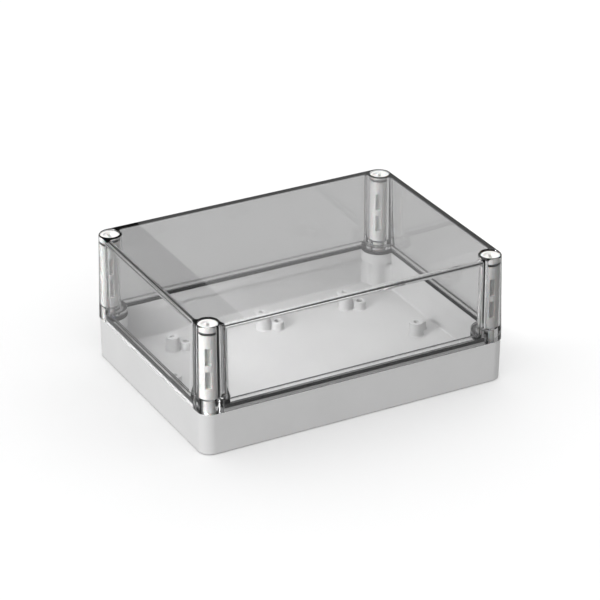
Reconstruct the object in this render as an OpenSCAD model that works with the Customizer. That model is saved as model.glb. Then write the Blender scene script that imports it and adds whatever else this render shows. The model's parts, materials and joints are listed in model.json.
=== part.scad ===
// Polycarbonate enclosure: grey base tray, clear deep lid, perimeter gasket
// and four long captive lid screws, each with its own sealing ring.
// Origin: centre of the underside. +Z up, long side along X. Millimetres.

/* [Enclosure] */
// Length over the lid's skirt, along X
box_length = 180; // [140:1:260]
// Width over the lid's skirt, along Y
box_width = 132; // [110:1:200]
// Overall height with the lid on
box_height = 73; // [60:1:110]
// Height of the base up to its outer rim
base_height = 23.3; // [20:0.1:32]
// Radius of the upright corners
corner_radius = 7.2; // [5:0.1:9]
// Distance from the skirt's outer faces to each lid screw's axis
screw_inset = 7.2; // [7:0.1:9]

/* [Base] */
// Side wall thickness below the ledge
base_wall = 2.6; // [2:0.1:3.5]
// Floor thickness
base_floor = 3; // [2:0.1:4]
// How far the base's rim stands back from the lid's skirt
rim_setback = 0.3; // [0:0.05:0.6]
// How far the foot is smaller than the base's rim, each side
base_draft = 0.3; // [0:0.05:0.8]
// Rounding of the foot's outer edge
foot_round = 0.6; // [0.3:0.1:1.2]
// Height of the thick upper part of the wall, ledge to rim
ledge_depth = 4.3; // [3:0.1:6]
// Height of the sealing tongue above the rim
tongue_height = 1.7; // [1:0.1:2.5]
// Outer diameter of each lid screw socket
socket_d = 11.4; // [9.5:0.1:12]
// Depth of the screw hole in each socket, below the rim
socket_depth = 14; // [11:0.5:16]

/* [Seal] */
// Distance from the skirt's outer face to the middle of the gasket
seal_inset = 3.1; // [2.8:0.1:4]
// Width of the gasket and of the tongue under it
seal_width = 2.2; // [1.6:0.1:2.6]
// Height of the gasket
seal_height = 2.4; // [1.5:0.1:3]
// Radius of the gasket's bend around each lid screw
seal_bend_radius = 8.8; // [8.6:0.1:10]

/* [Lid] */
// Side wall thickness
lid_wall = 2.5; // [1.8:0.1:3.5]
// Top plate thickness
lid_plate = 2.4; // [1.8:0.1:3.5]
// How far the top is smaller than the skirt, each side
lid_draft = 0.9; // [0:0.05:1.2]
// Rounding of the top's outer edge
lid_edge_round = 1.2; // [0.4:0.1:2]
// Gap between the lid's skirt and the base rim
parting_gap = 0.3; // [0.1:0.05:0.6]
// Thickness of the flange that presses on the gasket
land_thickness = 2; // [1.2:0.1:3]
// Outer diameter of each corner column
column_d = 13; // [12.6:0.1:15]
// Concave fillet between a corner column and the walls
column_fillet = 4.2; // [2:0.1:6]

/* [Lid screws] */
// Diameter of the screw's body
screw_d = 10.4; // [8:0.1:10.4]
// Diameter of the threaded stem
stem_d = 6.2; // [5:0.1:7]
// Length of stem held in the base
stem_grip = 9; // [6:0.5:11]
// Height of the screw's seat above the base rim
seat_height = 6.9; // [6:0.1:9]
// Depth of the head's top below the lid's top
head_recess = 0.9; // [0.4:0.1:2]
// Diameter of the dish in the head
head_dish_d = 7.4; // [6:0.1:8]
// Depth of the dish in the head
head_dish_depth = 1; // [0.5:0.1:1.4]
// Width of the driver slot
slot_width = 1.6; // [1:0.1:2.2]
// Depth of the driver slot below the dish
slot_depth = 1.6; // [1:0.1:2]
// Width of the pockets moulded into the body
pocket_width = 3.1; // [2:0.1:3.6]
// Depth of the pockets
pocket_depth = 2.7; // [1.5:0.1:2.9]
// Solid length above the upper pockets
pocket_top_cover = 11.6; // [8:0.1:14]
// Bridge between the two tiers of pockets
pocket_bridge = 3.4; // [2:0.1:6]
// Solid length below the lower pockets, down to the cone
pocket_foot_cover = 6; // [4:0.1:10]

/* [Screw seals] */
// Thickness of the ring
ring_t = 1.5; // [1.2:0.1:1.8]
// Depth of the ring's middle below the lid's top
ring_drop = 4.6; // [4.2:0.1:6]

/* [Board posts] */
// Spacing of the corner posts along X
post_pitch_x = 104; // [60:1:110]
// Spacing of the posts along Y
post_pitch_y = 87; // [50:1:90]
// Distance of the side posts from the middle, along X
side_post_x = 71; // [62:0.5:73]
// Offset of the side posts along Y
side_post_y = 3; // [0:0.5:6]
// Diameter of a post
post_d = 8; // [6:0.1:9]
// Height of a post's top above the underside
post_top = 11.2; // [8:0.1:14]
// Diameter of the pilot hole in a post
post_hole_d = 2.9; // [2:0.1:4]
// Depth of the pilot hole
post_hole_depth = 7; // [4:0.5:8]
// Diameter of the lower post beside each post
side_step_d = 7; // [5.5:0.1:8]
// Height of the lower post's top above the underside
side_step_top = 8; // [5:0.1:10]
// Diameter of the lower post's hole
side_step_hole_d = 3.6; // [2:0.1:4.4]

/* [Clearances] */
// Gap around the screw's body in its column
body_clearance = 0.3; // [0.2:0.05:0.5]
// Gap around the stem in the base socket
stem_clearance = 0.06; // [0.02:0.01:0.1]
// Gap around the stem in the lid's seat
seat_clearance = 0.3; // [0.2:0.05:0.6]
// Gap between the screw's cone and the lid's seat
seat_gap = 0.1; // [0.05:0.05:0.3]
// Gap between the lid's skirt and the gasket
skirt_clearance = 0.25; // [0.2:0.05:0.5]
// Gap around the seal ring in its groove and its bore
ring_clearance = 0.04; // [0.02:0.01:0.08]

/* [Hidden] */
fine = 96;
cut = 1;                    // overshoot of a cutting solid past a face
eps = 0.01;                 // thickness of the slices that a hull joins

front_left = [-1, -1];
front_right = [1, -1];
back_left = [-1, 1];
back_right = [1, 1];
corners = [front_left, front_right, back_left, back_right];
screw_x = box_length / 2 - screw_inset;
screw_y = box_width / 2 - screw_inset;

// Heading of the pockets on each screw, in degrees from +X
turn_front_left = -118;
turn_front_right = -110;
turn_back_left = -96;
turn_back_right = -124;

// Levels, from the underside up
rim_z = base_height;
ledge_z = rim_z - ledge_depth;
tongue_z = rim_z + tongue_height;
land_z = tongue_z + seal_height;
cavity_z = land_z + land_thickness;
seat_z = rim_z + seat_height;
ceiling_z = box_height - lid_plate;
head_z = box_height - head_recess;
ring_z = box_height - ring_drop;
stem_z = rim_z - stem_grip;

foot_inset = rim_setback + base_draft;
block_facets = 64;                                 // corner facets of the drafted blocks

// Posts
step_gap = 0.4;                                    // gap between a post and its lower post
web_drop = 1;                                      // from the lower post's top to the web's top
step_hole_floor = 1;

// Screw body
bore_r = screw_d / 2 + body_clearance;
seat_r = stem_d / 2 + seat_clearance;
seat_slope = 0.8;                                  // rise of the seat's cone for its run
cone_z = seat_z + seat_slope * (bore_r - seat_r);
ring_minor_r = ring_t / 2;
ring_major_r = bore_r - ring_clearance - ring_minor_r;
groove_r = ring_major_r - ring_minor_r - ring_clearance;
groove_half = ring_minor_r + ring_clearance;
pocket_high = head_z - pocket_top_cover;
pocket_low = cone_z + pocket_foot_cover;
pocket_length = (pocket_high - pocket_low - pocket_bridge) / 2;
slot_end_gap = 0.4;
slot_length = head_dish_d - 2 * slot_end_gap;
stem_chamfer = 1;
head_chamfer = 0.4;

// ---- Outlines ----

// Rounded rectangle, the skirt's outline moved in by inset
module rim_outline(inset, facets = fine) {
    r = max(corner_radius - inset, 0.5);
    x = box_length / 2 - inset - r;
    y = box_width / 2 - inset - r;
    union() {
        square([2 * x, 2 * (y + r)], center = true);
        square([2 * (x + r), 2 * y], center = true);
        for (c = corners) translate([c[0] * x, c[1] * y]) circle(r, $fn = facets);
    }
}

// Inside of the sealing line moved in by shift: it bends around each screw
module seal_outline(shift) {
    difference() {
        rim_outline(seal_inset + shift);
        for (c = corners) translate([c[0] * screw_x, c[1] * screw_y])
            circle(seal_bend_radius + shift, $fn = fine);
    }
}

// A pillar of diameter d on one screw axis, with a concave fillet to each of
// the two walls, whose inner faces lie reach beyond the axis
module pillar_outline(d, fillet, reach) {
    tangent = sqrt(pow(d / 2 + fillet, 2) - pow(reach - fillet, 2));
    circle(d / 2, $fn = fine);
    square([reach + cut, reach + cut]);
    for (swap = [0, 1]) mirror([swap, -swap]) difference() {
        polygon([[0, 0], [-tangent, reach - fillet], [-tangent, reach + cut], [0, reach + cut]]);
        translate([-tangent, reach - fillet]) circle(fillet, $fn = fine);
    }
}

// One of each at the four corners, turned so that its +X and +Y face outwards
module at_corners() {
    for (c = corners) translate([c[0] * screw_x, c[1] * screw_y])
        mirror([c[0] < 0 ? 1 : 0, 0]) mirror([0, c[1] < 0 ? 1 : 0]) children();
}

// Block between two levels whose sides lean in evenly, with a rounded edge
// of radius edge at its far level
module drafted_block(from_z, to_z, from_inset, to_inset, edge) {
    dir = to_z > from_z ? 1 : -1;
    hull() {
        slice(from_z, from_inset, dir);
        for (a = [0 : 22.5 : 90])
            slice(to_z - dir * edge * (1 - sin(a)), to_inset + edge * (1 - cos(a)), dir);
    }
}

module slice(z, inset, dir) {
    translate([0, 0, dir > 0 ? z - eps : z]) linear_extrude(eps) rim_outline(inset, block_facets);
}

// ---- Base ----

module base() color([0.78, 0.78, 0.79]) {
    difference() {
        drafted_block(rim_z, 0, rim_setback, foot_inset, foot_round);
        translate([0, 0, ledge_z]) linear_extrude(ledge_depth + cut) seal_outline(seal_width / 2);
        translate([0, 0, base_floor]) linear_extrude(ledge_z - base_floor + eps) base_cavity();
        for (c = corners) translate([c[0] * screw_x, c[1] * screw_y, rim_z - socket_depth])
            cylinder(d = stem_d + 2 * stem_clearance, h = socket_depth + cut, $fn = fine);
    }
    translate([0, 0, ledge_z + cut]) linear_extrude(tongue_z - ledge_z - cut) difference() {
        seal_outline(-seal_width / 2);
        seal_outline(seal_width / 2);
    }
    for (x = [-post_pitch_x / 2, 0, post_pitch_x / 2]) {
        translate([x, post_pitch_y / 2, 0]) board_post(-25);
        translate([x, -post_pitch_y / 2, 0]) board_post(155);
    }
    translate([side_post_x, -side_post_y, 0]) board_post(45);
    translate([-side_post_x, side_post_y, 0]) board_post(225);
}

module base_cavity() {
    difference() {
        rim_outline(base_wall + foot_inset);
        at_corners() pillar_outline(socket_d, column_fillet, screw_inset - base_wall - foot_inset);
    }
}

// Post for a board screw, with a lower post joined to it at the given heading
module board_post(heading) {
    low_offset = (post_d + side_step_d) / 2 + step_gap;
    high = post_top - base_floor + eps;
    low = side_step_top - base_floor + eps;
    translate([0, 0, base_floor - eps]) difference() {
        union() {
            cylinder(d = post_d, h = high, $fn = fine);
            rotate(heading) {
                translate([low_offset, 0, 0]) cylinder(d = side_step_d, h = low, $fn = fine);
                translate([0, -side_step_hole_d / 2, 0]) cube([low_offset, side_step_hole_d, low - web_drop]);
            }
        }
        translate([0, 0, high - post_hole_depth])
            cylinder(d = post_hole_d, h = post_hole_depth + cut, $fn = fine);
        rotate(heading) translate([low_offset, 0, step_hole_floor]) cylinder(d = side_step_hole_d, h = low, $fn = fine);
    }
}

// ---- Lid ----

module lid() color([0.8, 0.83, 0.84, 0.35]) {
    skirt_z = rim_z + parting_gap;
    difference() {
        drafted_block(skirt_z, box_height, 0, lid_draft, lid_edge_round);
        translate([0, 0, skirt_z - cut]) linear_extrude(land_z - skirt_z + cut)
            seal_outline(-seal_width / 2 - skirt_clearance);
        translate([0, 0, land_z - cut]) linear_extrude(land_thickness + cut + eps)
            seal_outline(seal_width / 2);
        difference() {
            drafted_block(cavity_z, ceiling_z, lid_wall, lid_wall + lid_draft, lid_edge_round);
            translate([0, 0, cavity_z - cut]) linear_extrude(ceiling_z - cavity_z + 2 * cut)
                at_corners() pillar_outline(column_d, column_fillet, screw_inset - lid_wall);
        }
        for (c = corners) translate([c[0] * screw_x, c[1] * screw_y, 0]) {
            translate([0, 0, cone_z]) cylinder(r = bore_r, h = box_height - cone_z + cut, $fn = fine);
            translate([0, 0, seat_z]) cylinder(r1 = seat_r, r2 = bore_r, h = cone_z - seat_z, $fn = fine);
            cylinder(r = seat_r, h = seat_z + eps, $fn = fine);
        }
    }
}

// ---- Gasket ----

module gasket() color([0.06, 0.06, 0.07]) {
    translate([0, 0, tongue_z]) linear_extrude(seal_height) difference() {
        seal_outline(-seal_width / 2);
        seal_outline(seal_width / 2);
    }
}

// ---- Lid screws ----

// The screw's body and stem as one turned solid, seated on the lid's cone
module screw_body() {
    r = screw_d / 2;
    tip = stem_d / 2 - stem_chamfer;
    rotate_extrude($fn = fine) polygon([
        [0, stem_z], [tip, stem_z], [stem_d / 2, stem_z + stem_chamfer],
        [stem_d / 2, seat_z - seat_slope * seat_clearance + seat_gap],
        [r, cone_z - seat_slope * body_clearance + seat_gap],
        [r, ring_z - groove_half], [groove_r, ring_z - groove_half],
        [groove_r, ring_z + groove_half], [r, ring_z + groove_half],
        [r, head_z - head_chamfer], [r - head_chamfer, head_z], [0, head_z]]);
}

// A lid screw on the axis of one corner, its pockets facing the given turn
module lid_screw(corner, turn) color([0.94, 0.94, 0.93]) {
    translate([corner[0] * screw_x, corner[1] * screw_y, 0]) rotate(turn) difference() {
        screw_body();
        translate([0, 0, head_z - head_dish_depth])
            cylinder(d = head_dish_d, h = head_dish_depth + cut, $fn = fine);
        translate([-slot_length / 2, -slot_width / 2, head_z - head_dish_depth - slot_depth])
            cube([slot_length, slot_width, slot_depth + cut]);
        for (side = [0 : 90 : 270], z = [pocket_low, pocket_low + pocket_length + pocket_bridge]) rotate(side)
            translate([screw_d / 2 - pocket_depth, -pocket_width / 2, z])
                cube([pocket_depth + cut, pocket_width, pocket_length]);
    }
}

// The ring in the groove under one screw's head
module screw_seal(corner) color([0.05, 0.05, 0.05]) {
    translate([corner[0] * screw_x, corner[1] * screw_y, ring_z])
        rotate_extrude($fn = fine) translate([ring_major_r, 0]) circle(ring_minor_r, $fn = 48);
}

base();
lid();
gasket();
lid_screw(front_left, turn_front_left);  // screw_front_left
lid_screw(front_right, turn_front_right);  // screw_front_right
lid_screw(back_left, turn_back_left);  // screw_back_left
lid_screw(back_right, turn_back_right);  // screw_back_right
screw_seal(front_left);  // screw_seal_front_left
screw_seal(front_right);  // screw_seal_front_right
screw_seal(back_left);  // screw_seal_back_left
screw_seal(back_right);  // screw_seal_back_right
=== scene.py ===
# Grey enclosure base with a deep clear lid, a black gasket and four long captive screws.
import json
from math import atan2, cos, pi, radians, sin, sqrt

import bmesh
import bpy
from mathutils import Matrix, Vector

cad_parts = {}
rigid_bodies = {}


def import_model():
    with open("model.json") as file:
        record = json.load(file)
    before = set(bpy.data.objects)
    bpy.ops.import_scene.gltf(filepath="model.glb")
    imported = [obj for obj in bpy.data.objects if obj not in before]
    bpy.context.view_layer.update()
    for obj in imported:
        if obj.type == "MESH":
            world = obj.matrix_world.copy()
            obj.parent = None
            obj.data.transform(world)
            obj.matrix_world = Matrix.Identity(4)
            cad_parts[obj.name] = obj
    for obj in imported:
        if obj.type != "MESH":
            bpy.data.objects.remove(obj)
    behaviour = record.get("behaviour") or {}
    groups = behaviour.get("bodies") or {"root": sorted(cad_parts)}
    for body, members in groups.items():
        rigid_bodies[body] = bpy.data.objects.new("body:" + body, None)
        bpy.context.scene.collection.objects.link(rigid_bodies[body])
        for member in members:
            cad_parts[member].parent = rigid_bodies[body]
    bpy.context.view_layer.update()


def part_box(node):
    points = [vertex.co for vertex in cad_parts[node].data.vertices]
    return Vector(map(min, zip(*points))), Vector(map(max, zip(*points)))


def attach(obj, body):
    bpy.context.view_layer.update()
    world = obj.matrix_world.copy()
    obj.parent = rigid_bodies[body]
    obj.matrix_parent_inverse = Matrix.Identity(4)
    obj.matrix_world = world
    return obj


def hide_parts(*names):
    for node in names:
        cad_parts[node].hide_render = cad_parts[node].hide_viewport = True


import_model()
mm = 0.001
cutMargin = 1 * mm  # how far a cutting tool runs past the face it opens
halfTurnSteps = 10   # facets of a half turn in small roundings

# ---------- the frame's own sizes ----------
lidLow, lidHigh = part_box("lid")
baseLow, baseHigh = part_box("base")
gasketLow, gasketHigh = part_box("gasket")
cornerNames = ["front_left", "front_right", "back_left", "back_right"]
screwBoxes = {name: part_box("screw_" + name) for name in cornerNames}
ringBoxes = {name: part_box("screw_seal_" + name) for name in cornerNames}
screwAxis = (screwBoxes["back_right"][0] + screwBoxes["back_right"][1]) / 2
halfX, halfY = lidHigh.x, lidHigh.y
print("frame loaded, overall", [round(1000 * v, 1) for v in lidHigh - baseLow])

# ---------- camera ----------
cameraSet = {"azimuth": -28.119, "elevation": 26.836, "roll": -0.073,
             "distance": 1.45705, "right": 0.0007, "up": 0.03506, "lens": 161.47}


def makeCamera(s):
    a, e, r = radians(s["azimuth"]), radians(s["elevation"]), radians(s["roll"])
    back = Vector((sin(a) * cos(e), -cos(a) * cos(e), sin(e)))
    right = Vector((0, 0, 1)).cross(back).normalized()
    up = back.cross(right)
    right, up = right * cos(r) + up * sin(r), up * cos(r) - right * sin(r)
    data = bpy.data.cameras.new("camera")
    data.lens = s["lens"]
    camera = bpy.data.objects.new("camera", data)
    bpy.context.scene.collection.objects.link(camera)
    turn = Matrix((right, up, back)).transposed()
    place = back * s["distance"] + right * s["right"] + up * s["up"]
    camera.matrix_world = Matrix.Translation(place) @ turn.to_4x4()
    bpy.context.scene.camera = camera


makeCamera(cameraSet)
print("camera ready")

# ---------- material helpers ----------


def newMaterial(name):
    material = bpy.data.materials.new(name)
    material.use_nodes = True
    nodes = material.node_tree.nodes
    return material, nodes, material.node_tree.links, nodes["Principled BSDF"]


def noiseAt(nodes, links, scale, detail, roughness=0.5):
    place = nodes.new("ShaderNodeTexCoord")
    noise = nodes.new("ShaderNodeTexNoise")
    noise.inputs["Scale"].default_value = scale
    noise.inputs["Detail"].default_value = detail
    noise.inputs["Roughness"].default_value = roughness
    links.new(place.outputs["Object"], noise.inputs["Vector"])
    return noise


def remap(nodes, links, value, low, high):
    ramp = nodes.new("ShaderNodeMapRange")
    ramp.inputs["From Min"].default_value = 0.3
    ramp.inputs["From Max"].default_value = 0.7
    ramp.inputs["To Min"].default_value = low
    ramp.inputs["To Max"].default_value = high
    links.new(value, ramp.inputs["Value"])
    return ramp.outputs["Result"]


def mixColour(nodes, links, value, dark, light):
    mix = nodes.new("ShaderNodeMix")
    mix.data_type = "RGBA"
    mix.inputs["A"].default_value = (*dark, 1)
    mix.inputs["B"].default_value = (*light, 1)
    links.new(remap(nodes, links, value, 0, 1), mix.inputs["Factor"])
    return mix.outputs["Result"]


def mathNode(nodes, links, operation, first, second):
    node = nodes.new("ShaderNodeMath")
    node.operation = operation
    for socket, value in zip(node.inputs, (first, second)):
        if isinstance(value, (int, float)):
            socket.default_value = value
        else:
            links.new(value, socket)
    return node.outputs["Value"]


def addBump(nodes, links, shader, height, strength, depth):
    bump = nodes.new("ShaderNodeBump")
    bump.inputs["Strength"].default_value = strength
    bump.inputs["Distance"].default_value = depth
    links.new(height, bump.inputs["Height"])
    links.new(bump.outputs["Normal"], shader.inputs["Normal"])


# ---------- materials ----------
greyPlastic = {"dark": (0.58, 0.58, 0.58), "light": (0.61, 0.61, 0.61), "grain": 2600,
               "rough": (0.38, 0.5)}


def makeBaseGrey(s):
    material, nodes, links, shader = newMaterial("baseGrey")
    cloud = noiseAt(nodes, links, 35, 4)
    tone = mixColour(nodes, links, cloud.outputs["Fac"], s["dark"], s["light"])
    links.new(tone, shader.inputs["Base Color"])
    grain = noiseAt(nodes, links, s["grain"], 3, 0.6)
    links.new(remap(nodes, links, grain.outputs["Fac"], *s["rough"]), shader.inputs["Roughness"])
    addBump(nodes, links, shader, grain.outputs["Fac"], 0.12, 0.00004)
    return material


clearPlastic = {"tint": (0.985, 0.985, 0.985), "ior": 1.585, "lampShare": 0.94, "grazingLoss": 3.5,
                "smoke": (0.70, 0.70, 0.705), "smokeDensity": 60}


def makeLidClear(s):
    material, nodes, links, shader = newMaterial("lidClear")
    shader.inputs["Base Color"].default_value = (*s["tint"], 1)
    shader.inputs["IOR"].default_value = s["ior"]
    shader.inputs["Transmission Weight"].default_value = 1
    smear = noiseAt(nodes, links, 28, 3)
    links.new(remap(nodes, links, smear.outputs["Fac"], 0.004, 0.02), shader.inputs["Roughness"])
    facing = nodes.new("ShaderNodeLayerWeight")
    facing.inputs["Blend"].default_value = 0.5
    loss = mathNode(nodes, links, "POWER", facing.outputs["Facing"], s["grazingLoss"])
    kept = mathNode(nodes, links, "SUBTRACT", 1.0, loss)
    share = mathNode(nodes, links, "MULTIPLY", kept, s["lampShare"])
    lamp = nodes.new("ShaderNodeBsdfTransparent")
    links.new(share, lamp.inputs["Color"])
    path = nodes.new("ShaderNodeLightPath")
    mix = nodes.new("ShaderNodeMixShader")
    links.new(path.outputs["Is Shadow Ray"], mix.inputs["Fac"])
    links.new(shader.outputs["BSDF"], mix.inputs[1])
    links.new(lamp.outputs["BSDF"], mix.inputs[2])
    links.new(mix.outputs["Shader"], nodes["Material Output"].inputs["Surface"])
    smoke = nodes.new("ShaderNodeVolumeAbsorption")
    smoke.inputs["Color"].default_value = (*s["smoke"], 1)
    smoke.inputs["Density"].default_value = s["smokeDensity"]
    links.new(smoke.outputs["Volume"], nodes["Material Output"].inputs["Volume"])
    return material


whitePlastic = {"dark": (0.60, 0.60, 0.59), "light": (0.66, 0.66, 0.65), "rough": (0.34, 0.46)}


def makeScrewWhite(s):
    material, nodes, links, shader = newMaterial("screwWhite")
    cloud = noiseAt(nodes, links, 180, 4)
    tone = mixColour(nodes, links, cloud.outputs["Fac"], s["dark"], s["light"])
    links.new(tone, shader.inputs["Base Color"])
    links.new(remap(nodes, links, cloud.outputs["Fac"], *s["rough"]), shader.inputs["Roughness"])
    shader.inputs["Subsurface Weight"].default_value = 0.12
    shader.inputs["Subsurface Scale"].default_value = 0.0015
    grain = noiseAt(nodes, links, 1800, 2)
    addBump(nodes, links, shader, grain.outputs["Fac"], 0.08, 0.00003)
    return material


blackRubber = {"dark": (0.004, 0.004, 0.005), "light": (0.01, 0.01, 0.011), "rough": (0.6, 0.8),
               "shine": 0.25}


def makeSealBlack(name, s):
    material, nodes, links, shader = newMaterial(name)
    cells = noiseAt(nodes, links, 2200, 3, 0.6)
    tone = mixColour(nodes, links, cells.outputs["Fac"], s["dark"], s["light"])
    links.new(tone, shader.inputs["Base Color"])
    links.new(remap(nodes, links, cells.outputs["Fac"], *s["rough"]), shader.inputs["Roughness"])
    shader.inputs["Specular IOR Level"].default_value = s["shine"]
    addBump(nodes, links, shader, cells.outputs["Fac"], 0.3, 0.00005)
    return material


baseGrey = makeBaseGrey(greyPlastic)
lidClear = makeLidClear(clearPlastic)
screwWhite = makeScrewWhite(whitePlastic)
gasketBlack = makeSealBlack("gasketBlack", blackRubber)
ringBlack = makeSealBlack("ringBlack", blackRubber)
print("materials ready")

# ---------- modelling helpers ----------


def pieceFrom(name, bm):
    # merges doubles, turns the normals outwards and links a new object
    bmesh.ops.remove_doubles(bm, verts=bm.verts, dist=1e-7)
    bmesh.ops.recalc_face_normals(bm, faces=bm.faces)
    mesh = bpy.data.meshes.new(name)
    bm.to_mesh(mesh)
    bm.free()
    piece = bpy.data.objects.new(name, mesh)
    bpy.context.scene.collection.objects.link(piece)
    return piece


def arc(centreX, centreY, radius, start, end, steps):
    angles = [start + (end - start) * i / steps for i in range(steps + 1)]
    return [(centreX + radius * cos(a), centreY + radius * sin(a)) for a in angles]


def plateFace(bm, x, y, radius, z, steps=20):
    # a rectangle whose four corners are rounded by a vertex bevel
    corners = bmesh.ops.create_grid(bm, x_segments=1, y_segments=1, size=1)["verts"]
    bmesh.ops.scale(bm, vec=(x, y, 1), verts=corners)
    bmesh.ops.translate(bm, vec=(0, 0, z), verts=corners)
    bmesh.ops.bevel(bm, geom=corners, offset=radius, offset_type="OFFSET", affect="VERTICES",
                    segments=steps, profile=0.5, material=-1)
    return bm.faces[:][0]


def outlineFace(bm, points, z):
    return bm.faces.new([bm.verts.new((x, y, z)) for x, y in points])


def raiseFace(bm, face, height, grow=(1, 1)):
    # extrudes one face straight up and scales its far end for draft
    moved = bmesh.ops.extrude_face_region(bm, geom=[face], use_keep_orig=True)["geom"]
    verts = [g for g in moved if isinstance(g, bmesh.types.BMVert)]
    bmesh.ops.translate(bm, vec=(0, 0, height), verts=verts)
    bmesh.ops.scale(bm, vec=(*grow, 1), verts=verts)
    return verts


def roundLoop(bm, verts, offset, steps):
    ring = set(verts)
    edges = [e for e in bm.edges if e.verts[0] in ring and e.verts[1] in ring and len(e.link_faces) == 2]
    bmesh.ops.bevel(bm, geom=edges, offset=offset, offset_type="OFFSET", affect="EDGES",
                    segments=steps, profile=0.5, material=-1)


def carve(piece, tool, operation="DIFFERENCE"):
    modifier = piece.modifiers.new("carve", "BOOLEAN")
    modifier.operation = operation
    modifier.solver = "EXACT"
    modifier.object = tool
    graph = bpy.context.evaluated_depsgraph_get()
    graph.update()
    result = bpy.data.meshes.new_from_object(piece.evaluated_get(graph))
    result.name = piece.name
    piece.modifiers.clear()
    piece.data = result
    bpy.data.objects.remove(tool)


def copyToCorners(makeTool, name):
    # one tool per corner, mirrored so that its +X and +Y face outwards, joined as one object
    bm = bmesh.new()
    for sideX in (-1, 1):
        for sideY in (-1, 1):
            part = bmesh.new()
            makeTool(part)
            bmesh.ops.scale(part, vec=(sideX, sideY, 1), verts=part.verts)
            bmesh.ops.translate(part, vec=(sideX * screwAxis.x, sideY * screwAxis.y, 0), verts=part.verts)
            bmesh.ops.recalc_face_normals(part, faces=part.faces)
            mesh = bpy.data.meshes.new("part")
            part.to_mesh(mesh)
            part.free()
            bm.from_mesh(mesh)
            bpy.data.meshes.remove(mesh)
    return pieceFrom(name, bm)


def turned(bm, profile, steps=64):
    # a closed profile of (radius, height) points spun about Z
    verts = [bm.verts.new((r, 0, z)) for r, z in profile]
    edges = [bm.edges.new((a, b)) for a, b in zip(verts, verts[1:])]
    if profile[0][0] > 0 or profile[-1][0] > 0:
        edges.append(bm.edges.new((verts[-1], verts[0])))
    bmesh.ops.spin(bm, geom=verts + edges, cent=(0, 0, 0), axis=(0, 0, 1), angle=2 * pi,
                   steps=steps, use_merge=True, use_duplicate=False)
    bmesh.ops.remove_doubles(bm, verts=bm.verts, dist=1e-7)
    bmesh.ops.recalc_face_normals(bm, faces=bm.faces)


def finishPiece(piece, node, body, material, sharp=34, bevel=None):
    mesh = piece.data
    mesh.materials.clear()
    mesh.materials.append(material)
    mesh.shade_smooth()
    mesh.set_sharp_from_angle(angle=radians(sharp))
    if bevel:
        edge = piece.modifiers.new("edges", "BEVEL")
        edge.width = bevel
        edge.segments = 2
        edge.limit_method = "ANGLE"
        edge.angle_limit = radians(sharp)
        edge.miter_outer = "MITER_ARC"
    even = piece.modifiers.new("evenShading", "WEIGHTED_NORMAL")
    even.keep_sharp = True
    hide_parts(node)
    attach(piece, body)
    return piece


# ---------- the sealing line, shared by base, gasket and lid ----------
sealLine = {"inset": 3.1 * mm, "width": 2.2 * mm, "bend": 8.8 * mm, "cornerRadius": 6.9 * mm}


def sealOutline(shift):
    # straight along the walls, bending inwards round each screw
    s = sealLine
    x, y = halfX - s["inset"] - shift, halfY - s["inset"] - shift
    radius = s["bend"] + shift
    offX, offY = x - screwAxis.x, y - screwAxis.y
    start = atan2(offY, -sqrt(radius ** 2 - offY ** 2))
    end = atan2(-sqrt(radius ** 2 - offX ** 2), offX) + 2 * pi
    bend = arc(screwAxis.x, screwAxis.y, radius, start, end, 20)
    quarter = [bend, [(px, -py) for px, py in reversed(bend)], [(-px, -py) for px, py in bend],
               [(-px, py) for px, py in reversed(bend)]]
    return [point for part in quarter for point in part]


def sealBlock(name, shift, low, high):
    bm = bmesh.new()
    raiseFace(bm, outlineFace(bm, sealOutline(shift), low), high - low)
    return pieceFrom(name, bm)


def sealRing(name, low, high, roundTop):
    half = sealLine["width"] / 2
    bm = bmesh.new()
    loops = []
    for shift in (-half, half):
        verts = [bm.verts.new((x, y, low)) for x, y in sealOutline(shift)]
        loops += [bm.edges.new((a, b)) for a, b in zip(verts, verts[1:] + verts[:1])]
    ring = bmesh.ops.bridge_loops(bm, edges=loops)["faces"]
    moved = bmesh.ops.extrude_face_region(bm, geom=ring, use_keep_orig=True)["geom"]
    top = [g for g in moved if isinstance(g, bmesh.types.BMVert)]
    bmesh.ops.translate(bm, vec=(0, 0, high - low), verts=top)
    if roundTop:
        bmesh.ops.recalc_face_normals(bm, faces=bm.faces)
        topSet = set(top)
        edges = [e for e in bm.edges if set(e.verts) <= topSet and e.calc_face_angle(0) > 1]
        bmesh.ops.bevel(bm, geom=edges, offset=roundTop, offset_type="OFFSET", affect="EDGES",
                        segments=3, profile=0.5, material=-1)
    return pieceFrom(name, bm)


def pillarOutline(radius, fillet, reach):
    # a round pillar on the screw axis with a concave fillet to each wall
    spread = sqrt((radius + fillet) ** 2 - (reach - fillet) ** 2)
    lean = atan2(reach - fillet, spread)
    far = reach + 2 * mm
    sideA = arc(-spread, reach - fillet, fillet, pi / 2, -lean, 10)
    round_ = arc(0, 0, radius, pi - lean, 3 * pi / 2 + lean, 24)
    sideB = arc(reach - fillet, -spread, fillet, pi / 2 + lean, 0, 10)
    return sideA + round_[1:-1] + sideB + [(far, -spread), (far, far), (-spread, far)]


def pillarTools(name, radius, fillet, reach, low, high):
    def make(bm):
        raiseFace(bm, outlineFace(bm, pillarOutline(radius, fillet, reach), low), high - low)
    return copyToCorners(make, name)


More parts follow.
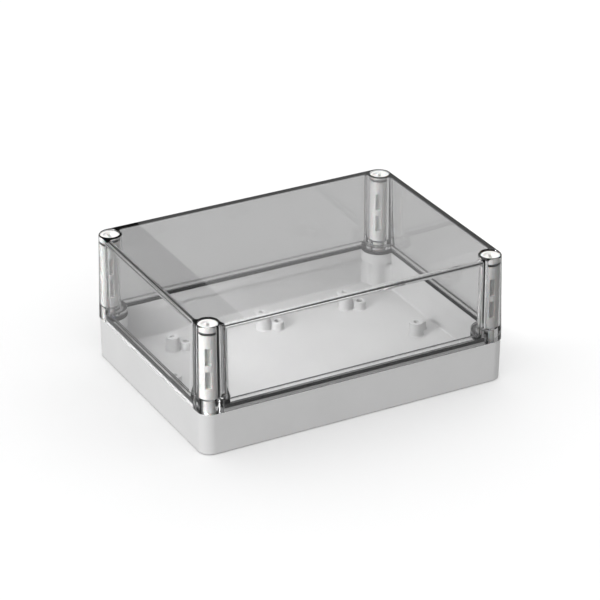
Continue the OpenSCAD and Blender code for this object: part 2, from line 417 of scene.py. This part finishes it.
# ---------- clear lid ----------
lidForm = {"wall": 2.5 * mm, "plate": 2.4 * mm, "draft": 0.9 * mm, "cornerRadius": 7.2 * mm,
           "edgeRound": 1.2 * mm, "land": 2 * mm, "columnRadius": 6.5 * mm, "columnFillet": 4.2 * mm,
           "boreRadius": 5.5 * mm, "boreLip": 0.45 * mm, "seat": 30.2 * mm, "seatSlope": 0.8,
           "stemHoleRadius": 3.4 * mm, "skirtClearance": 0.25 * mm, "landOverlap": 0.1 * mm,
           "edgeSteps": 6, "ceilingSteps": 5, "boreSteps": 72}


def buildLid(s):
    half = sealLine["width"] / 2
    landZ = gasketHigh.z
    cavityZ = landZ + s["land"]
    ceilingZ = lidHigh.z - s["plate"]

    bm = bmesh.new()
    face = plateFace(bm, halfX, halfY, s["cornerRadius"], lidLow.z)
    shrink = (1 - s["draft"] / halfX, 1 - s["draft"] / halfY)
    top = raiseFace(bm, face, lidHigh.z - lidLow.z, shrink)
    roundLoop(bm, top, s["edgeRound"], s["edgeSteps"])
    lid = pieceFrom("clearLid", bm)

    carve(lid, sealBlock("skirtTool", -half - s["skirtClearance"], lidLow.z - cutMargin, landZ))
    carve(lid, sealBlock("landTool", half, landZ - cutMargin, cavityZ + s["landOverlap"]))

    bm = bmesh.new()
    x, y = halfX - s["wall"], halfY - s["wall"]
    face = plateFace(bm, x, y, s["cornerRadius"] - s["wall"], cavityZ)
    shrink = (1 - s["draft"] / x, 1 - s["draft"] / y)
    top = raiseFace(bm, face, ceilingZ - cavityZ, shrink)
    roundLoop(bm, top, s["edgeRound"], s["ceilingSteps"])
    cavity = pieceFrom("cavityTool", bm)
    reach = halfX - screwAxis.x - s["wall"]
    carve(cavity, pillarTools("columnTool", s["columnRadius"], s["columnFillet"], reach,
                              cavityZ - cutMargin, ceilingZ + cutMargin))
    carve(lid, cavity)

    bore, hole, lip = s["boreRadius"], s["stemHoleRadius"], s["boreLip"]
    coneZ = s["seat"] + s["seatSlope"] * (bore - hole)
    topZ = lidHigh.z
    turns = [i * pi / halfTurnSteps for i in range(halfTurnSteps // 2 + 1)]
    rounded = [(bore + lip * (1 - cos(a)), topZ - lip + lip * sin(a)) for a in turns]

    def makeBore(part):
        startZ = lidLow.z - cutMargin
        turned(part, [(0, startZ), (hole, startZ), (hole, s["seat"]), (bore, coneZ)]
               + rounded + [(bore + lip, topZ + cutMargin), (0, topZ + cutMargin)], s["boreSteps"])
    carve(lid, copyToCorners(makeBore, "boreTool"))
    return finishPiece(lid, "lid", "lid", lidClear)


clearLid = buildLid(lidForm)
print("lid modelled,", len(clearLid.data.polygons), "faces")

# ---------- base tray ----------
baseForm = {"wall": 2.6 * mm, "floor": 3 * mm, "draft": 0.3 * mm, "rim": 23.3 * mm, "ledge": 19 * mm,
            "footRound": 0.6 * mm, "rimRound": 0.35 * mm, "floorRound": 1 * mm, "socketRadius": 5.7 * mm,
            "socketFillet": 4.2 * mm, "holeRadius": 3.16 * mm, "holeDepth": 14 * mm, "holeChamfer": 0.5 * mm,
            "holeFoot": 0.6 * mm, "trayOverlap": 0.05 * mm, "tongueRoot": 2 * mm, "tongueRound": 0.2 * mm,
            "edgeSteps": 4, "floorSteps": 5, "holeSteps": 40}
postForm = {"pitchX": 104 * mm, "pitchY": 87 * mm, "sideX": 71 * mm, "sideY": 3 * mm, "radius": 4 * mm,
            "top": 11.2 * mm, "hole": 1.45 * mm, "holeDepth": 7 * mm, "foot": 0.9 * mm, "edge": 0.3 * mm,
            "lowRadius": 3.5 * mm, "lowTop": 8 * mm, "lowHole": 1.8 * mm, "lowOffset": 7.9 * mm,
            "lowHoleFloor": 1 * mm, "steps": 40, "longHeading": -25, "sideHeading": 45}


def postProfile(radius, top, hole, holeFoot, s, floor):
    # one side of a hollow post: fillet at the floor, rounded top, chamfered hole
    foot, edge = s["foot"], s["edge"]
    turns = [i * pi / halfTurnSteps for i in range(halfTurnSteps // 2 + 1)]
    curve = [(radius + foot - foot * sin(a), floor + foot - foot * cos(a)) for a in turns]
    crown = [(radius - edge + edge * cos(i * pi / 6), top - edge + edge * sin(i * pi / 6)) for i in range(4)]
    return ([(0, floor - cutMargin), (radius + foot, floor - cutMargin)] + curve + crown
            + [(hole + edge, top), (hole, top - edge), (hole, holeFoot), (0, holeFoot)])


def addPost(base, x, y, heading, s, floor):
    for shape in ("high", "low"):
        bm = bmesh.new()
        if shape == "high":
            side = postProfile(s["radius"], s["top"], s["hole"], s["top"] - s["holeDepth"], s, floor)
            turned(bm, side, s["steps"])
        else:
            holeFoot = floor + s["lowHoleFloor"]
            side = postProfile(s["lowRadius"], s["lowTop"], s["lowHole"], holeFoot, s, floor)
            turned(bm, side, s["steps"])
            bmesh.ops.translate(bm, vec=(s["lowOffset"], 0, 0), verts=bm.verts)
        spinBy = Matrix.Rotation(radians(heading), 3, "Z")
        bmesh.ops.rotate(bm, cent=(0, 0, 0), matrix=spinBy, verts=bm.verts)
        bmesh.ops.translate(bm, vec=(x, y, 0), verts=bm.verts)
        carve(base, pieceFrom("post", bm), "UNION")


def buildBase(s, posts):
    half = sealLine["width"] / 2
    x, y = baseHigh.x, baseHigh.y
    radius = sealLine["cornerRadius"]
    bm = bmesh.new()
    face = plateFace(bm, x - s["draft"], y - s["draft"], radius, baseLow.z)
    top = raiseFace(bm, face, s["rim"] - baseLow.z, (x / (x - s["draft"]), y / (y - s["draft"])))
    bmesh.ops.recalc_face_normals(bm, faces=bm.faces)
    roundLoop(bm, top, s["rimRound"], s["edgeSteps"])
    footVerts = [v for v in bm.verts if abs(v.co.z - baseLow.z) < 1e-6]
    roundLoop(bm, footVerts, s["footRound"], s["edgeSteps"])
    base = pieceFrom("baseTray", bm)

    carve(base, sealBlock("upperTool", half, s["ledge"], s["rim"] + cutMargin))
    bm = bmesh.new()
    inset = s["wall"] + s["draft"]
    face = plateFace(bm, x - inset, y - inset, radius - s["wall"], s["ledge"] + s["trayOverlap"])
    low = raiseFace(bm, face, s["floor"] - s["ledge"] - s["trayOverlap"])
    roundLoop(bm, low, s["floorRound"], s["floorSteps"])
    cavity = pieceFrom("trayTool", bm)
    reach = x - screwAxis.x - inset
    carve(cavity, pillarTools("socketTool", s["socketRadius"], s["socketFillet"], reach,
                              s["floor"] - cutMargin, s["ledge"] + cutMargin))
    carve(base, cavity)
    carve(base, sealRing("tongue", s["rim"] - s["tongueRoot"], gasketLow.z, s["tongueRound"]), "UNION")

    bottom, chamfer = s["rim"] - s["holeDepth"], s["holeChamfer"]
    hole = s["holeRadius"]

    def makeHole(part):
        turned(part, [(0, bottom), (hole, bottom + s["holeFoot"]), (hole, s["rim"] - chamfer),
                      (hole + chamfer, s["rim"]), (hole + chamfer, s["rim"] + cutMargin),
                      (0, s["rim"] + cutMargin)], s["holeSteps"])
    carve(base, copyToCorners(makeHole, "holeTool"))

    for px in (-posts["pitchX"] / 2, 0, posts["pitchX"] / 2):
        addPost(base, px, posts["pitchY"] / 2, posts["longHeading"], posts, s["floor"])
        addPost(base, px, -posts["pitchY"] / 2, posts["longHeading"] + 180, posts, s["floor"])
    addPost(base, posts["sideX"], -posts["sideY"], posts["sideHeading"], posts, s["floor"])
    addPost(base, -posts["sideX"], posts["sideY"], posts["sideHeading"] + 180, posts, s["floor"])
    return finishPiece(base, "base", "base", baseGrey)


baseTray = buildBase(baseForm, postForm)
print("base modelled,", len(baseTray.data.polygons), "faces")

# ---------- gasket ----------
gasketForm = {"topRound": 0.4 * mm}
gasket = sealRing("perimeterGasket", gasketLow.z, gasketHigh.z, gasketForm["topRound"])
finishPiece(gasket, "gasket", "base", gasketBlack)
print("gasket modelled")

# ---------- lid screws ----------
screwForm = {"pocketWidth": 3.1 * mm, "pocketDepth": 2.7 * mm, "topCover": 11.6 * mm, "bridge": 3.4 * mm,
             "footCover": 6 * mm, "pocketRound": 0.3 * mm, "edge": 0.4 * mm, "dishRadius": 3.7 * mm,
             "dishDepth": 1 * mm, "slotWidth": 1.6 * mm, "slotDepth": 1.6 * mm, "stemRadius": 3.1 * mm,
             "threadRoot": 2.55 * mm, "threadPitch": 1.8 * mm, "threadSink": 0.3 * mm, "ringThick": 1.58 * mm,
             "seatSink": 0.14 * mm, "tipChamfer": 0.6 * mm, "dishTaper": 0.25 * mm, "slotRound": 0.2 * mm,
             "tipInset": 1 * mm, "shoulder": 1 * mm, "slotEnds": 1 * mm, "threadStart": 0.7,
             "threadEnd": 1.5 * mm, "steps": 72, "threadSteps": 28}
screwTurns = {"front_left": -118, "front_right": -110, "back_left": -96, "back_right": -124}


def buildScrew(name, turn, s):
    low, high = screwBoxes[name]
    radius = (high.x - low.x) / 2
    ringMid = (ringBoxes[name][0].z + ringBoxes[name][1].z) / 2
    ringOuter = (ringBoxes[name][1].x - ringBoxes[name][0].x) / 2
    grooveRadius = ringOuter - s["ringThick"]
    grooveHalf = s["ringThick"] / 2
    seat = lidForm["seat"] - s["seatSink"]
    cone = seat + lidForm["seatSlope"] * (radius - s["stemRadius"])
    edge, stem = s["edge"], s["stemRadius"]
    crown = [(radius - edge + edge * cos(i * pi / 8), high.z - edge + edge * sin(i * pi / 8)) for i in range(5)]
    bm = bmesh.new()
    turned(bm, [(0, low.z), (stem - s["tipInset"], low.z), (s["threadRoot"], low.z + s["tipChamfer"]),
                (s["threadRoot"], baseForm["rim"] - s["shoulder"]), (stem, baseForm["rim"]),
                (stem, seat), (radius, cone),
                (radius, ringMid - grooveHalf), (grooveRadius, ringMid - grooveHalf),
                (grooveRadius, ringMid + grooveHalf), (radius, ringMid + grooveHalf)] + crown
           + [(s["dishRadius"], high.z), (s["dishRadius"] - s["dishTaper"], high.z - s["dishDepth"]),
              (0, high.z - s["dishDepth"])], s["steps"])
    screw = pieceFrom("lidScrew_" + name, bm)

    pocketTop = high.z - s["topCover"]
    pocketLow = cone + s["footCover"]
    length = (pocketTop - pocketLow - s["bridge"]) / 2
    bm = bmesh.new()
    for side in range(4):
        for z in (pocketLow, pocketLow + length + s["bridge"]):
            box = bmesh.ops.create_cube(bm, size=1)["verts"]
            depth = s["pocketDepth"] + cutMargin
            bmesh.ops.scale(bm, vec=(depth, s["pocketWidth"], length), verts=box)
            middle = (radius - s["pocketDepth"] + depth / 2, 0, z + length / 2)
            bmesh.ops.translate(bm, vec=middle, verts=box)
            bmesh.ops.rotate(bm, cent=(0, 0, 0), matrix=Matrix.Rotation(side * pi / 2, 3, "Z"), verts=box)
    bmesh.ops.bevel(bm, geom=bm.edges[:], offset=s["pocketRound"], offset_type="OFFSET", affect="EDGES",
                    segments=3, profile=0.5, material=-1)
    carve(screw, pieceFrom("pocketTool", bm))

    bm = bmesh.new()
    slot = bmesh.ops.create_cube(bm, size=1)["verts"]
    slotLength = 2 * s["dishRadius"] - s["slotEnds"]
    bmesh.ops.scale(bm, vec=(slotLength, s["slotWidth"], 2 * s["slotDepth"]), verts=slot)
    bmesh.ops.translate(bm, vec=(0, 0, high.z - s["dishDepth"]), verts=slot)
    bmesh.ops.bevel(bm, geom=bm.edges[:], offset=s["slotRound"], offset_type="OFFSET", affect="EDGES",
                    segments=2, profile=0.5, material=-1)
    carve(screw, pieceFrom("slotTool", bm))

    # the thread: a small ridge spun upwards about the stem, heights as shares of the pitch
    bm = bmesh.new()
    pitch, root, inner = s["threadPitch"], s["threadRoot"], s["threadRoot"] - s["threadSink"]
    turns = int((baseForm["rim"] - s["threadEnd"] - low.z) / pitch - 1)
    ridge = [(inner, 0.5), (root, 0.42), (stem, 0.1), (stem, -0.1), (root, -0.42), (inner, -0.5)]
    verts = [bm.verts.new((r, 0, low.z + pitch * (s["threadStart"] + z))) for r, z in ridge]
    face = bm.faces.new(verts)
    steps = s["threadSteps"] * turns
    bmesh.ops.spin(bm, geom=[face], cent=(0, 0, 0), axis=(0, 0, 1), dvec=(0, 0, pitch * turns / steps),
                   angle=2 * pi * turns, steps=steps, use_duplicate=False)
    carve(screw, pieceFrom("threadRidge", bm), "UNION")

    middle = (low + high) / 2
    place = Matrix.Translation((middle.x, middle.y, 0)) @ Matrix.Rotation(radians(turn), 4, "Z")
    screw.data.transform(place)
    return finishPiece(screw, "screw_" + name, "screw_" + name, screwWhite)


def buildRing(name):
    low, high = ringBoxes[name]
    minor = (high.z - low.z) / 2
    major = (high.x - low.x) / 2 - minor
    bm = bmesh.new()
    loop = bmesh.ops.create_circle(bm, radius=minor, segments=20)["verts"]
    bmesh.ops.rotate(bm, cent=(0, 0, 0), matrix=Matrix.Rotation(pi / 2, 3, "X"), verts=loop)
    bmesh.ops.translate(bm, vec=(major, 0, 0), verts=loop)
    bmesh.ops.spin(bm, geom=loop + bm.edges[:], cent=(0, 0, 0), axis=(0, 0, 1), angle=2 * pi,
                   steps=64, use_merge=True, use_duplicate=False)
    middle = (low + high) / 2
    bmesh.ops.translate(bm, vec=middle, verts=bm.verts)
    ring = pieceFrom("screwRing_" + name, bm)
    return finishPiece(ring, "screw_seal_" + name, "seal_" + name, ringBlack, sharp=80)


for name in cornerNames:
    buildScrew(name, screwTurns[name], screwForm)
    buildRing(name)
print("screws and rings modelled")

# ---------- floor, world and lamps ----------
stageSet = {"size": 8, "drop": 0.05 * mm,
            "floor": {"bounce": 0.2, "glossy": 0.36, "through": 0.45, "camera": 0.95},
            "world": {"bounce": 1.1, "glossy": 0.05, "through": 0.3, "camera": 1.0}}


def greyByRay(nodes, links, greys):
    # one grey for bounced light, others for reflections, the view through the lid and the camera
    path = nodes.new("ShaderNodeLightPath")
    tone = greys["bounce"]
    flags = {"glossy": "Is Glossy Ray", "through": "Is Transmission Ray", "camera": "Is Camera Ray"}
    for kind, output in flags.items():
        mix = nodes.new("ShaderNodeMix")
        mix.data_type = "FLOAT"
        links.new(path.outputs[output], mix.inputs["Factor"])
        if kind == "glossy":
            mix.inputs["A"].default_value = tone
        else:
            links.new(tone, mix.inputs["A"])
        mix.inputs["B"].default_value = greys[kind]
        tone = mix.outputs["Result"]
    return tone


def makeFloor(s):
    bm = bmesh.new()
    bmesh.ops.create_grid(bm, x_segments=8, y_segments=8, size=s["size"] / 2)
    floor = pieceFrom("floor", bm)
    floor.location.z = baseLow.z - s["drop"]
    material, nodes, links, shader = newMaterial("paleFloor")
    shader.inputs["Roughness"].default_value = 1
    shader.inputs["Specular IOR Level"].default_value = 0
    links.new(greyByRay(nodes, links, s["floor"]), shader.inputs["Base Color"])
    floor.data.materials.append(material)


def makeWorld(s):
    world = bpy.data.worlds.new("studio")
    bpy.context.scene.world = world
    world.use_nodes = True
    nodes, links = world.node_tree.nodes, world.node_tree.links
    nodes["Background"].inputs["Color"].default_value = (1, 1, 1, 1)
    links.new(greyByRay(nodes, links, s["world"]), nodes["Background"].inputs["Strength"])


lampSet = {
    "overhead": {"place": (0.1, 0.3, 1.8), "aim": (0.1, 0.3, 0), "size": (1.6, 1.6), "watts": 18},
    "key": {"place": (-1.75, -0.55, 0.85), "aim": (0, 0, 0.03), "size": (0.35, 0.35), "watts": 25},
    "topCard": {"place": (0.78, 1.3, 0.786), "aim": (0.78, 1.3, 0), "size": (0.438, 0.5), "watts": 0.32},
}


def makeLamp(name, s, lit):
    data = bpy.data.lights.new(name, "AREA")
    data.shape = "RECTANGLE"
    data.size, data.size_y = s["size"]
    data.energy = s["watts"]
    lamp = bpy.data.objects.new(name, data)
    bpy.context.scene.collection.objects.link(lamp)
    away = Vector(s["place"]) - Vector(s["aim"])
    lamp.location = s["place"]
    lamp.rotation_euler = (0, 0, 0) if away.length == away.z else away.to_track_quat("Z", "Y").to_euler()
    lamp.visible_camera = False
    lamp.light_linking.receiver_collection = lit


litPieces = bpy.data.collections.new("litPieces")
for piece in bpy.context.scene.objects:
    if piece.type == "MESH":
        litPieces.objects.link(piece)
makeFloor(stageSet)
makeWorld(stageSet)
for lampName, lamp in lampSet.items():
    makeLamp(lampName, lamp, litPieces)
bpy.context.scene.view_settings.view_transform = "Standard"
print("stage ready")
